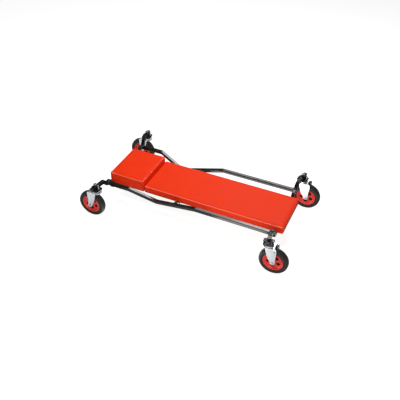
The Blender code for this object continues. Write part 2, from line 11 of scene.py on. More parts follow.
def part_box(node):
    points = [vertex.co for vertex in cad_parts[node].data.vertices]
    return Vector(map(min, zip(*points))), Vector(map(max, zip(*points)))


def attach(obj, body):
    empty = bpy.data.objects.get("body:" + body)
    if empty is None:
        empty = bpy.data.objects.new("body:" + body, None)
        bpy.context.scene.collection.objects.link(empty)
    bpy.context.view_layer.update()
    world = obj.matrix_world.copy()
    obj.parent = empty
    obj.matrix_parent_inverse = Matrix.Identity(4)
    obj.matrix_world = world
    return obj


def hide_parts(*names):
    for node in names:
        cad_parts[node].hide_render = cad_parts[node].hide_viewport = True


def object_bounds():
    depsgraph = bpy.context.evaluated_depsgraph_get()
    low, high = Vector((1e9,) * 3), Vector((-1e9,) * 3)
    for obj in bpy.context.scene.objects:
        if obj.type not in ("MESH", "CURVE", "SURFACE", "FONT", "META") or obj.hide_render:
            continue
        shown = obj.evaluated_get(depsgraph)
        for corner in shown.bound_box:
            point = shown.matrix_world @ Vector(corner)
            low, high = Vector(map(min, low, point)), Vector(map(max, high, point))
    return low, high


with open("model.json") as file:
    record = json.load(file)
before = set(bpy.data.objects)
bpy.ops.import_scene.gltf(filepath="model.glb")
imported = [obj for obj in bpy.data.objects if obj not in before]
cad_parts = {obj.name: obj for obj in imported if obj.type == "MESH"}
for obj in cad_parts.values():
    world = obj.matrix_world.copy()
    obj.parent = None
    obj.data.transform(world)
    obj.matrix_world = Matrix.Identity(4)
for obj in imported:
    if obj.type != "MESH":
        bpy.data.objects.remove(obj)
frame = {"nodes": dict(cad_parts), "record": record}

bl_info = {
    "name": "Mechanics Creeper",
    "version": (1, 0, 0),
    "blender": (4, 5, 0),
    "location": "View3D > Sidebar > Creeper",
    "description": "Builds the cushions, tyres, rims, welds, fasteners and finishes of a mechanics creeper",
    "category": "Object",
}

NODES = frame["nodes"]
CAD_BOX = [list(corner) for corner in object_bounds()]
CORNERS = [(end, side) for end in ("head", "foot") for side in ("near", "far")]
MM = 0.001


# ---------------------------------------------------------------- sizes and colours


class CreeperSizes(bpy.types.PropertyGroup):
    cushion_swell: bpy.props.FloatProperty(name="Cushion swell", description="Most the foam may push out",
                                           default=5 * MM, unit="LENGTH")
    mesh_size: bpy.props.FloatProperty(name="Cushion mesh size", description="Spacing of the cover's mesh",
                                         default=5 * MM, unit="LENGTH")
    tread_depth: bpy.props.FloatProperty(name="Tread depth", description="Depth of the tyre grooves",
                                         default=2.2 * MM, unit="LENGTH")
    edge_break: bpy.props.FloatProperty(name="Edge break", description="Rounding of pressed steel edges",
                                        default=0.7 * MM, unit="LENGTH")
    weld_radius: bpy.props.FloatProperty(name="Weld radius", description="Size of the weld beads",
                                         default=2.3 * MM, unit="LENGTH")


class CreeperColours(bpy.types.PropertyGroup):
    vinyl: bpy.props.FloatVectorProperty(name="Vinyl", description="Colour of the cushion covers",
                                         default=(0.79, 0.034, 0.004), subtype="COLOR")
    rim: bpy.props.FloatVectorProperty(name="Rims", description="Colour of the rim paint",
                                       default=(0.76, 0.022, 0.010), subtype="COLOR")
    tube: bpy.props.FloatVectorProperty(name="Frame", description="Colour of the frame paint",
                                        default=(0.006, 0.0065, 0.006), subtype="COLOR")
    rubber: bpy.props.FloatVectorProperty(name="Tyres", description="Colour of the rubber",
                                          default=(0.012, 0.012, 0.010), subtype="COLOR")


# ---------------------------------------------------------------- shader nodes


class Term:
    """A node's output socket that can be used in arithmetic."""

    def __init__(self, finish, socket):
        self.finish = finish
        self.socket = socket

    def _math(self, operation, first, second):
        return self.finish.node("ShaderNodeMath", {"operation": operation}, {0: first, 1: second})

    def __add__(self, other):
        return self._math("ADD", self, other)

    def __radd__(self, other):
        return self._math("ADD", other, self)

    def __sub__(self, other):
        return self._math("SUBTRACT", self, other)

    def __rsub__(self, other):
        return self._math("SUBTRACT", other, self)

    def __mul__(self, other):
        return self._math("MULTIPLY", self, other)

    def __rmul__(self, other):
        return self._math("MULTIPLY", other, self)


class Finish:
    """A material whose Principled shader is fed by procedural nodes."""

    def __init__(self, name, colour, roughness, metallic=0.0, **fixed):
        self.material = bpy.data.materials.new(name)
        self.material.use_nodes = True
        self.tree = self.material.node_tree
        self.shader = self.tree.nodes["Principled BSDF"]
        self.material.diffuse_color = (*colour, 1.0)
        self.feed("Base Color", (*colour, 1.0))
        self.feed("Roughness", roughness)
        self.feed("Metallic", metallic)
        for socket, value in fixed.items():
            self.feed(socket.replace("_", " "), value)
        self.place = self.node("ShaderNodeTexCoord", {}, {}, "Object")

    def node(self, kind, settings, inputs, output=0):
        node = self.tree.nodes.new(kind)
        for key, value in settings.items():
            setattr(node, key, value)
        for key, value in inputs.items():
            self._put(node.inputs[key], value)
        return Term(self, node.outputs[output])

    def _put(self, socket, value):
        if isinstance(value, Term):
            self.tree.links.new(value.socket, socket)
        else:
            socket.default_value = value

    def feed(self, socket, value):
        self._put(self.shader.inputs[socket], value)

    def noise(self, scale, detail=3.0, roughness=0.5, stretch=None):
        place = self.place
        if stretch:
            place = self.node("ShaderNodeMapping", {}, {"Vector": self.place, "Scale": stretch})
        return self.node("ShaderNodeTexNoise", {}, {"Vector": place, "Scale": scale, "Detail": detail,
                                                    "Roughness": roughness})

    def mask(self, value, low, high):
        """0 below low and 1 above high."""
        return self.node("ShaderNodeMapRange", {}, {0: value, 1: low, 2: high, 3: 0.0, 4: 1.0})

    def blend(self, factor, first, second):
        """Mix of two colours."""
        pair = [colour if isinstance(colour, Term) else (*colour, 1.0) for colour in (first, second)]
        return self.node("ShaderNodeMix", {"data_type": "RGBA"}, {0: factor, 6: pair[0], 7: pair[1]}, 2)

    def bump(self, height, strength, distance):
        self.feed("Normal", self.node("ShaderNodeBump", {}, {"Height": height, "Strength": strength,
                                                             "Distance": distance}))


def shade(colour, factor):
    return tuple(min(1.0, c * factor) for c in colour)


def vinyl_finish(colour):
    """Embossed upholstery vinyl: fine leather grain, faint scuffs and a painted highlight along the rounded
    near and foot top edges.
    """
    f = Finish("red_vinyl", colour, 0.42, Specular_IOR_Level=0.06, Coat_Roughness=0.22)
    grain = f.node("ShaderNodeTexVoronoi", {"feature": "DISTANCE_TO_EDGE"},
                   {"Vector": f.place, "Scale": 520.0})
    fine = f.noise(1400.0, 2.0)
    broad = f.noise(9.0, 4.0, 0.55)
    scuffs = f.mask(f.noise(60.0, 6.0, 0.7, (0.25, 1.0, 1.0)), 0.66, 0.80)
    colours = f.blend(f.mask(broad, 0.3, 0.7), shade(colour, 0.955), shade(colour, 1.035))
    f.feed("Roughness", 0.44 + 0.10 * f.mask(broad, 0.3, 0.7) + 0.06 * fine)
    normal = f.node("ShaderNodeNewGeometry", {}, {}, "Normal")
    across, along, up = (f.node("ShaderNodeSeparateXYZ", {}, {"Vector": normal}, axis) for axis in "YXZ")
    rounded = f.mask(1.0 - up, 0.03, 0.10) * (1.0 - f.mask(1.0 - up, 0.45, 0.62))
    # painted highlight: the rounded near and foot top edges are lightened towards pale red, standing in for
    # the light they catch
    painted_edge_highlight = rounded * f.mask(0.25 * along - across, 0.15, 0.35)
    scuffed = f.blend(scuffs * 0.10, colours, shade(colour, 1.5))
    f.feed("Base Color", f.blend(painted_edge_highlight * 0.8, scuffed, (1.0, 0.24, 0.17)))
    f.feed("Coat Weight", 0.45 * rounded)
    f.bump(f.mask(grain, 0.0, 0.16) + 0.25 * fine, 0.16, 0.0004)
    return f.material


def paint_finish(name, colour, roughness, peel=0.05, **fixed):
    """Gloss paint with orange peel, dust and small chips."""
    f = Finish(name, colour, roughness, **fixed)
    peel_noise = f.noise(260.0, 2.0)
    dust = f.mask(f.noise(22.0, 5.0, 0.6), 0.45, 0.75)
    chips = f.mask(f.noise(330.0, 3.0, 0.6), 0.745, 0.77)
    colours = f.blend(dust * 0.10, colour, (0.20, 0.19, 0.17))
    f.feed("Base Color", f.blend(chips * 0.5, colours, shade(colour, 3.0)))
    f.feed("Roughness", roughness + 0.09 * dust + 0.2 * chips)
    f.bump(peel_noise - 0.6 * chips, peel, 0.0005)
    return f.material


def zinc_finish():
    """Bright zinc plate with a faint blue cast, soft mottling and drawn scratches."""
    colour = (0.83, 0.87, 0.91)
    f = Finish("zinc_plate", colour, 0.30, 0.70)
    mottle = f.noise(55.0, 5.0, 0.65)
    spangle = f.node("ShaderNodeTexVoronoi", {}, {"Vector": f.place, "Scale": 160.0}, "Distance")
    scratches = f.mask(f.noise(300.0, 4.0, 0.7, (1.0, 1.0, 0.06)), 0.62, 0.70)
    tone = f.blend(f.mask(mottle, 0.35, 0.7), shade(colour, 0.86), colour)
    f.feed("Base Color", f.blend(scratches * 0.25, tone, (0.55, 0.57, 0.58)))
    f.feed("Roughness", 0.24 + 0.14 * mottle + 0.06 * spangle + 0.10 * scratches)
    f.bump(spangle + 0.6 * mottle, 0.05, 0.0003)
    return f.material


def steel_finish(name, colour, roughness, metallic):
    """Plain bolt steel: turned marks, tarnish in patches."""
    f = Finish(name, colour, roughness, metallic)
    tarnish = f.mask(f.noise(120.0, 5.0, 0.65), 0.42, 0.72)
    marks = f.noise(900.0, 2.0, 0.5, (1.0, 0.2, 1.0))
    f.feed("Base Color", f.blend(tarnish * 0.45, colour, shade(colour, 0.62)))
    f.feed("Roughness", roughness + 0.16 * tarnish + 0.05 * marks)
    f.bump(marks, 0.08, 0.0002)
    return f.material


def rubber_finish(colour):
    """Moulded tyre rubber: matt, with pale dust and a fine mould grain."""
    f = Finish("tyre_rubber", colour, 0.62, Specular_IOR_Level=0.4)
    grain = f.noise(800.0, 3.0)
    dust = f.mask(f.noise(34.0, 5.0, 0.6), 0.4, 0.8)
    f.feed("Base Color", f.blend(dust * 0.16, colour, (0.10, 0.095, 0.085)))
    f.feed("Roughness", 0.52 + 0.18 * dust + 0.06 * grain)
    f.bump(grain, 0.22, 0.0004)
    return f.material


def board_finish():
    """Dark stained plywood: long grain on the faces and thin plies at the edges."""
    f = Finish("deck_board", (0.10, 0.065, 0.040), 0.7)
    fibres = f.noise(70.0, 6.0, 0.6, (0.06, 1.0, 1.0))
    plies = f.node("ShaderNodeTexWave", {"bands_direction": "Z"},
                   {"Vector": f.place, "Scale": 95.0, "Distortion": 0.8, "Detail": 2.0}, "Fac")
    face = f.blend(f.mask(fibres, 0.35, 0.65), (0.060, 0.038, 0.022), (0.17, 0.11, 0.065))
    f.feed("Base Color", f.blend(f.mask(plies, 0.5, 0.9) * 0.35, face, (0.26, 0.18, 0.11)))
    f.feed("Roughness", 0.62 + 0.2 * fibres)
    f.bump(fibres + 0.4 * plies, 0.3, 0.0005)
    return f.material


MATERIALS = {}


def material(slot):
    """The finish of one of the record's material slots, or of a small extra piece."""
    if not MATERIALS:
        tint = bpy.context.scene.creeper_colours
        MATERIALS.update({
            "vinyl": vinyl_finish(tuple(tint.vinyl)),
            "frame_paint": paint_finish("frame_paint", tuple(tint.tube), 0.20, Specular_IOR_Level=0.40),
            "satin_black": paint_finish("satin_black", shade(tuple(tint.tube), 1.2), 0.34,
                                        Specular_IOR_Level=0.10),
            "rim_paint": paint_finish("rim_paint", tuple(tint.rim), 0.30, Coat_Weight=0.25),
            "brake_paint": paint_finish("brake_paint", (0.035, 0.035, 0.033), 0.36),
            "zinc": zinc_finish(),
            "steel": steel_finish("bright_steel", (0.62, 0.64, 0.65), 0.28, 1.0),
            "black_bolt": steel_finish("black_oxide", (0.014, 0.014, 0.014), 0.34, 0.3),
            "weld": steel_finish("weld_bead", (0.035, 0.034, 0.032), 0.40, 0.3),
            "tyre": rubber_finish(tuple(tint.rubber)),
            "board": board_finish(),
            "plug": paint_finish("plastic_plug", (0.010, 0.010, 0.010), 0.48, 0.08),
            "insert": paint_finish("nylon_insert", (0.55, 0.56, 0.55), 0.5, 0.08),
        })
    return MATERIALS[slot]


# ---------------------------------------------------------------- mesh tools


def add_piece(name, bm, finish, body, replaced=(), angle=40.0):
    """A finished mesh as a named piece that rides on a body."""
    bmesh.ops.recalc_face_normals(bm, faces=bm.faces)
    mesh = bpy.data.meshes.new(name)
    bm.to_mesh(mesh)
    bm.free()
    mesh.shade_smooth()
    mesh.set_sharp_from_angle(angle=math.radians(angle))
    mesh.materials.append(material(finish))
    piece = bpy.data.objects.new(name, mesh)
    bpy.context.scene.collection.objects.link(piece)
    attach(piece, body)
    if replaced:
        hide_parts(*replaced)
    return piece


def bridge(bm, ring_a, ring_b):
    for i in range(len(ring_a)):
        j = (i + 1) % len(ring_a)
        bm.faces.new((ring_a[i], ring_a[j], ring_b[j], ring_b[i]))


def turn_section(bm, section, steps, place, sink=None):
    """Spin a closed (height, radius) section about the axis that place sends +Z to."""
    rings = []
    for i in range(steps):
        angle = 2 * math.pi * i / steps
        ring = []
        for height, radius in section:
            reach = radius - (sink(i, height, radius) if sink else 0.0)
            point = Vector((reach * math.cos(angle), reach * math.sin(angle), height))
            ring.append(bm.verts.new(place @ point))
        rings.append(ring)
    for i in range(steps):
        bridge(bm, rings[i], rings[(i + 1) % steps])


def turn_solid(bm, stations, steps, place, flats=()):
    """Spin an open (height, radius) profile and close its ends; flats lists hexagon stations."""
    rings = []
    for index, (height, radius) in enumerate(stations):
        ring = []
        for i in range(steps):
            angle = 2 * math.pi * i / steps
            reach = radius
            if index in flats:
                sector = math.pi / 3
                reach = radius / math.cos(angle % sector - sector / 2)
            point = Vector((reach * math.cos(angle), reach * math.sin(angle), height))
            ring.append(bm.verts.new(place @ point))
        rings.append(ring)
    for ring_a, ring_b in zip(rings, rings[1:]):
        bridge(bm, ring_a, ring_b)
    bm.faces.new(reversed(rings[0]))
    bm.faces.new(rings[-1])


def along_y(centre):
    return Matrix.Translation(centre) @ Matrix.Rotation(-math.pi / 2, 4, "X")


def square_outline(size, radius, steps):
    points = []
    for quarter, (sx, sy) in enumerate(((1, 1), (-1, 1), (-1, -1), (1, -1))):
        for step in range(steps + 1):
            angle = math.pi / 2 * (quarter + step / steps)
            points.append(Vector((sx * (size / 2 - radius) + radius * math.cos(angle),
                                  sy * (size / 2 - radius) + radius * math.sin(angle), 0.0)))
    return points


def resample(points, spacing):
    """Even points round a closed outline."""
    lengths = [(points[(i + 1) % len(points)] - p).length for i, p in enumerate(points)]
    total = sum(lengths)
    count = int(total / spacing)
    result = []
    index, walked = 0, 0.0
    for k in range(count):
        target = total * k / count
        while walked + lengths[index] < target:
            walked += lengths[index]
            index += 1
        share = (target - walked) / lengths[index]
        result.append(points[index].lerp(points[(index + 1) % len(points)], share))
    return result


def centre_of(node):
    low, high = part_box(node)
    return (Vector(low) + Vector(high)) / 2


def end_centre(node, direction):
    """Middle of the outermost face of a CAD node along a direction."""
    direction = Vector(direction).normalized()
    points = [v.co.copy() for v in NODES[node].data.vertices]
    reach = max(p.dot(direction) for p in points)
    face = [p for p in points if p.dot(direction) > reach - 0.4 * MM]
    low = Vector([min(p[i] for p in face) for i in range(3)])
    high = Vector([max(p[i] for p in face) for i in range(3)])
    return (low + high) / 2


def soften(obj, width):
    """Break the sharp edges of a CAD node without changing its mesh."""
    bevel = obj.modifiers.new("edge_break", "BEVEL")
    bevel.width = width
    bevel.segments = 2
    bevel.limit_method = "ANGLE"
    bevel.angle_limit = math.radians(40)
    bevel.harden_normals = True


# ---------------------------------------------------------------- cushions

COVER_ROOM = 1.5 * MM           # how far a cover may stand proud of its cushion's block
COVER_MARGIN = 0.4 * MM         # how much smaller the cover is cut than the block
ROUNDED_EDGE = (12 * MM, 12 * MM, 6 * MM)   # reach of the block's rounding along X, Y and Z
HEM_START = 5 * MM              # how far outside the board the cover's hem begins
HELD_HEIGHT = 5 * MM            # height over which the stapled edge holds the cover
SETTLE_FRAMES = 20
SWELL_SHARE = 0.6               # share of the simulated swell that is kept


def cut_up(mesh, low, high, spacing):
    """Slice a cushion's block into small squares inside its rounded edges."""
    bm = bmesh.new()
    bm.from_mesh(mesh)
    bmesh.ops.remove_doubles(bm, verts=bm.verts, dist=0.01 * MM)
    bmesh.ops.dissolve_limit(bm, angle_limit=math.radians(1), verts=bm.verts, edges=bm.edges)
    for axis, edge in enumerate(ROUNDED_EDGE):
        normal = Vector([float(i == axis) for i in range(3)])
        first, last = low[axis] + edge, high[axis] - edge
        count = round((last - first) / spacing)
        for k in range(count + 1):
            bmesh.ops.bisect_plane(bm, geom=bm.verts[:] + bm.edges[:] + bm.faces[:], dist=0.01 * MM,
                                   plane_co=normal * (first + (last - first) * k / count), plane_no=normal)
    bm.to_mesh(mesh)
    bm.free()


def puffed(source, name, settings):
    """Cloth cover over a shrunk copy of the CAD cushion, blown up against its edges."""
    low, high = (Vector(corner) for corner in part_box(source))
    mesh = NODES[source].data.copy()
    cut_up(mesh, low, high, settings.mesh_size)
    cover = bpy.data.objects.new(name, mesh)
    bpy.context.scene.collection.objects.link(cover)
    middle = (low + high) / 2
    for vertex in mesh.vertices:
        for axis in (0, 1):
            shrink = 1 - 2 * COVER_MARGIN / (high[axis] - low[axis])
            vertex.co[axis] = middle[axis] + (vertex.co[axis] - middle[axis]) * shrink
        rise = (vertex.co.z - low.z) / (high.z - low.z)
        vertex.co.z = low.z + rise * (high.z - low.z - COVER_MARGIN)
    board_low, board_high = (Vector(corner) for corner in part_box("deck_board"))
    for vertex in mesh.vertices:
        past = max(max(board_low[axis] - vertex.co[axis], vertex.co[axis] - board_high[axis])
                   for axis in (0, 1))
        if vertex.co.z < low.z + 1 * MM and past > HEM_START:
            vertex.co.z = board_low.z + 0.2 * MM
    held = cover.vertex_groups.new(name="held")
    held.add([v.index for v in mesh.vertices if v.co.z < low.z + HELD_HEIGHT], 1.0, "REPLACE")
    blow_up(cover, settings.cushion_swell)
    least = (low.x, low.y - COVER_ROOM, board_low.z + 0.1 * MM)
    most = (high.x, high.y + COVER_ROOM, high.z + COVER_ROOM)
    for vertex in cover.data.vertices:
        vertex.co = [min(max(value, floor), roof) for value, floor, roof in zip(vertex.co, least, most)]
    subdivide = cover.modifiers.new("subdivision", "SUBSURF")
    subdivide.levels = 1
    subdivide.render_levels = 1
    bake(cover)
    cover.data.shade_smooth()
    return cover


def bake(obj):
    """Apply every modifier of an object."""
    graph = bpy.context.evaluated_depsgraph_get()
    mesh = bpy.data.meshes.new_from_object(obj.evaluated_get(graph), preserve_all_data_layers=True,
                                           depsgraph=graph)
    obj.modifiers.clear()
    obj.data = mesh


def blow_up(cover, limit):
    """Let air pressure swell a cover, then ease the swell towards a limit."""
    start = [v.co.copy() for v in cover.data.vertices]
    cloth = cover.modifiers.new("cloth", "CLOTH")
    cloth.settings.use_pressure = True
    cloth.settings.uniform_pressure_force = 4.0
    cloth.settings.effector_weights.gravity = 0.0
    cloth.settings.vertex_group_mass = "held"
    cloth.settings.tension_stiffness = 25.0
    cloth.settings.compression_stiffness = 25.0
    cloth.settings.bending_stiffness = 2.0
    scene = bpy.context.scene
    for step in range(1, SETTLE_FRAMES + 1):
        scene.frame_set(step)
    bake(cover)
    scene.frame_set(1)
    for vertex, before in zip(cover.data.vertices, start):
        move = vertex.co - before
        if move.length > 0.0:
            vertex.co = before + move.normalized() * limit * SWELL_SHARE * math.tanh(move.length / limit)


class CREEPER_OT_cushions(bpy.types.Operator):
    """Head and main cushions: vinyl covers blown up over foam"""
    bl_idname = "creeper.cushions"
    bl_label = "Cushions"

    def execute(self, context):
        settings = context.scene.creeper_sizes
        for node in ("main_cushion", "head_cushion"):
            cover = puffed(node, node + "_cover", settings)
            cover.data.materials.clear()
            cover.data.materials.append(material("vinyl"))
            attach(cover, "frame")
            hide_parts(node)
        return {"FINISHED"}


# ---------------------------------------------------------------- wheels


def tyre_section(half, outer, depth):
    """Closed tyre section: beads, side walls with a rim guard, and three tread grooves."""
    right = [(0.0158, 0.0604), (0.0158, 0.0690), (0.0197, 0.0710), (0.0212, 0.0735), (0.0208, 0.0750),
             (0.0226, 0.0775), (0.0243, 0.0830), (0.0247, 0.0870), (0.0240, 0.0905), (0.0222, 0.0938),
             (0.0192, 0.0962), (0.0150, 0.0980)]
    groove = [(0.0128, outer - 1.1 * MM), (0.0122, outer - 1.1 * MM - depth),
              (0.0102, outer - 0.9 * MM - depth), (0.0096, outer - 0.5 * MM), (0.0032, outer - 0.05 * MM),
              (0.0026, outer - depth), (0.0, outer - depth)]
    right = right + groove
    scale = half / 0.025
    right = [(height * scale, radius) for height, radius in right]
    left = [(-height, radius) for height, radius in reversed(right[:-1])]
    return right + left


RIM_HALF = [(0.0270, 0.0066), (0.0270, 0.0132), (0.0262, 0.0145), (0.0150, 0.0150), (0.0122, 0.0166),
            (0.0110, 0.0190), (0.0108, 0.0220), (0.0108, 0.0500), (0.0116, 0.0540), (0.0132, 0.0562),
            (0.0165, 0.0580), (0.0185, 0.0610), (0.0192, 0.0660), (0.0205, 0.0680), (0.0196, 0.0690),
            (0.0182, 0.0682), (0.0168, 0.0640), (0.0160, 0.0602)]   # (height, radius), hub to bead seat
HOLE_COUNT = 5
HOLE_RADIUS = 0.0130
HOLE_RING = 0.0368              # from the axle to the middle of each opening
HOLE_TURN = 0.27                # share of a pitch by which the first opening is turned
CUT_HALF = 0.016                # half the cutters' length, past both discs
CAVITY = [(-0.0086, 0.0185), (0.0086, 0.0185), (0.0086, 0.0530), (-0.0086, 0.0530)]
# a dark disc inside the rim's hollow: painted shade that darkens the view through the openings
PAINTED_SHADE_DISC = [(-0.001, 0.0184), (0.001, 0.0184), (0.001, 0.0531), (-0.001, 0.0531)]
SPACER = [(0.02725, 0.0068), (0.02725, 0.0100), (0.0292, 0.0100), (0.0292, 0.0068)]
VALVE = [(0.0030, 0.0042), (0.0060, 0.0040), (0.0075, 0.0028), (0.0140, 0.0027), (0.0142, 0.0034),
         (0.0185, 0.0034), (0.0192, 0.0026)]
VALVE_HEIGHT = 0.0515           # from the axle to the valve stem
TREAD_STEPS = 144
TREAD_PITCH = 4                 # steps from one shoulder notch to the next


def cutter_object(name, bm):
    """A helper object for a cut, removed once the cut is made."""
    mesh = bpy.data.meshes.new(name)
    bm.to_mesh(mesh)
    bm.free()
    cutter = bpy.data.objects.new(name, mesh)
    bpy.context.scene.collection.objects.link(cutter)
    return cutter


def cut_away(piece, name, cutter):
    cut = piece.modifiers.new(name, "BOOLEAN")
    cut.operation = "DIFFERENCE"
    cut.solver = "EXACT"
    cut.object = cutter


def build_rim(corner, centre, body):
    """Two pressed discs joined at hub and rim, with round openings and a dark disc between them as painted
    shade.
    """
    bm = bmesh.new()
    section = RIM_HALF + [(-height, radius) for height, radius in reversed(RIM_HALF)]
    turn_section(bm, section, 64, along_y(centre))
    piece = add_piece("pressed_rim_" + corner, bm, "rim_paint", body, ("rim_" + corner,), 32.0)
    holes = bmesh.new()
    for i in range(HOLE_COUNT):
        angle = -2 * math.pi * (i + HOLE_TURN) / HOLE_COUNT
        offset = Vector((HOLE_RING * math.cos(angle), 0.0, HOLE_RING * math.sin(angle)))
        turn_solid(holes, [(-CUT_HALF, HOLE_RADIUS), (CUT_HALF, HOLE_RADIUS)], 24, along_y(centre + offset))
    holes = cutter_object("rim_cutter", holes)
    hollow = bmesh.new()
    turn_section(hollow, CAVITY, 48, along_y(centre))
    bmesh.ops.recalc_face_normals(hollow, faces=hollow.faces)
    hollow = cutter_object("rim_cavity", hollow)
    cut_away(piece, "cavity", hollow)
    cut_away(piece, "openings", holes)
    bevel = piece.modifiers.new("pressed_edge", "BEVEL")
    bevel.width = 0.9 * MM
    bevel.segments = 2
    bevel.limit_method = "ANGLE"
    bevel.angle_limit = math.radians(60)
    bpy.context.view_layer.update()
    bake(piece)
    piece.data.shade_smooth()
    piece.data.set_sharp_from_angle(angle=math.radians(38))
    piece.data.validate()
    for helper in (holes, hollow):
        bpy.data.objects.remove(helper, do_unlink=True)
    # painted shade: a dark disc in the middle of the hollow so the openings look dark
    bm = bmesh.new()
    turn_section(bm, PAINTED_SHADE_DISC, 48, along_y(centre))
    add_piece("painted_shade_disc_" + corner, bm, "plug", body)


class CREEPER_OT_wheels(bpy.types.Operator):
    """Treaded tyres, pressed rims, axle spacers and inflation valves"""
    bl_idname = "creeper.wheels"
    bl_label = "Wheels"

    def execute(self, context):
        depth = context.scene.creeper_sizes.tread_depth
        for end, side in CORNERS:
            corner = end + "_" + side
            body = "wheel_" + corner
            centre = centre_of("tyre_" + corner)
            low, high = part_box("tyre_" + corner)
            half, outer = (high[1] - low[1]) / 2, (high[2] - low[2]) / 2
            bm = bmesh.new()

            def shoulder_cut(i, height, radius):
                notched = i % TREAD_PITCH == 0 and 0.0135 < abs(height) < 0.0215 and radius > 0.092
                return depth if notched else 0.0

            turn_section(bm, tyre_section(half, outer, depth), TREAD_STEPS, along_y(centre), shoulder_cut)
            add_piece("tread_tyre_" + corner, bm, "tyre", body, ("tyre_" + corner,), 50.0)
            build_rim(corner, centre, body)
            bm = bmesh.new()
            for sign in (-1, 1):
                turn_section(bm, [(sign * height, radius) for height, radius in SPACER], 32, along_y(centre))
            add_piece("axle_spacers_" + corner, bm, "steel", body)
            bm = bmesh.new()
            outward = -1 if side == "near" else 1
            stem = centre + Vector((0.0, 0.0, VALVE_HEIGHT))
            place = along_y(stem) @ Matrix.Scale(outward, 4, (0, 0, 1))
            turn_solid(bm, VALVE, 16, place)
            add_piece("valve_" + corner, bm, "plug", body)
        return {"FINISHED"}


# ---------------------------------------------------------------- frame details

ARM_SLANT = 0.176               # lean of an arm's end along X for each unit along Y
DECK_BOLT_Y = 0.11
STAPLE_INSET = 14 * MM
STAPLE_ROW = 32                 # spaces along the board's long sides
STAPLE_END_ROW = 8              # spaces along its ends
STAPLE_HALF = (5 * MM, 0.45 * MM)
STAPLE_DEPTH = 0.7 * MM
CROSS_ROOM = 8 * MM             # clearance kept from the cross members


def weld_ring(bm, centre, normal, size, radius, seed):
    """A lumpy bead round a square tube's joint."""
    chance = random.Random(seed)
    turn = Vector((0, 0, 1)).rotation_difference(Vector(normal)).to_matrix()
    path = resample(square_outline(size, 3 * MM, 3), 1.6 * MM)
    rings = []
    for i, point in enumerate(path):
        outward = point.normalized()
        bead = radius * (0.85 + 0.16 * math.sin(i * 1.9) + 0.08 * chance.random())
        ring = []
        for k in range(8):
            angle = 2 * math.pi * k / 8
            offset = outward * math.cos(angle) * bead * 0.7 + Vector((0, 0, math.sin(angle) * bead))
            ring.append(bm.verts.new(Vector(centre) + turn @ (point + offset)))
        rings.append(ring)
    for i in range(len(rings)):
        bridge(bm, rings[i], rings[(i + 1) % len(rings)])


def hex_bolt(bm, place, flats, head, shank_radius, shank):
    """Bolt head with a chamfer, on +Z of place, with its threaded end behind it."""
    half = flats / 2
    stations = [(-shank, shank_radius * 0.85), (-shank + 0.6 * MM, shank_radius), (0.0, shank_radius),
                (0.0, half * 1.28), (0.8 * MM, half * 1.28), (0.8 * MM, half), (head - 0.7 * MM, half),
                (head, half * 0.86)]
    turn_solid(bm, stations, 24, place, (5, 6))


def threaded_stud(bm, place, radius, length, pitch):
    """A plain stud with ridged threads."""
    stations = [(0.0, radius * 0.88)]
    height = 0.0
    while height + pitch < length - 0.6 * MM:
        stations += [(height + pitch * 0.5, radius), (height + pitch, radius * 0.88)]
        height += pitch
    stations.append((length, radius * 0.7))
    turn_solid(bm, stations, 20, place)


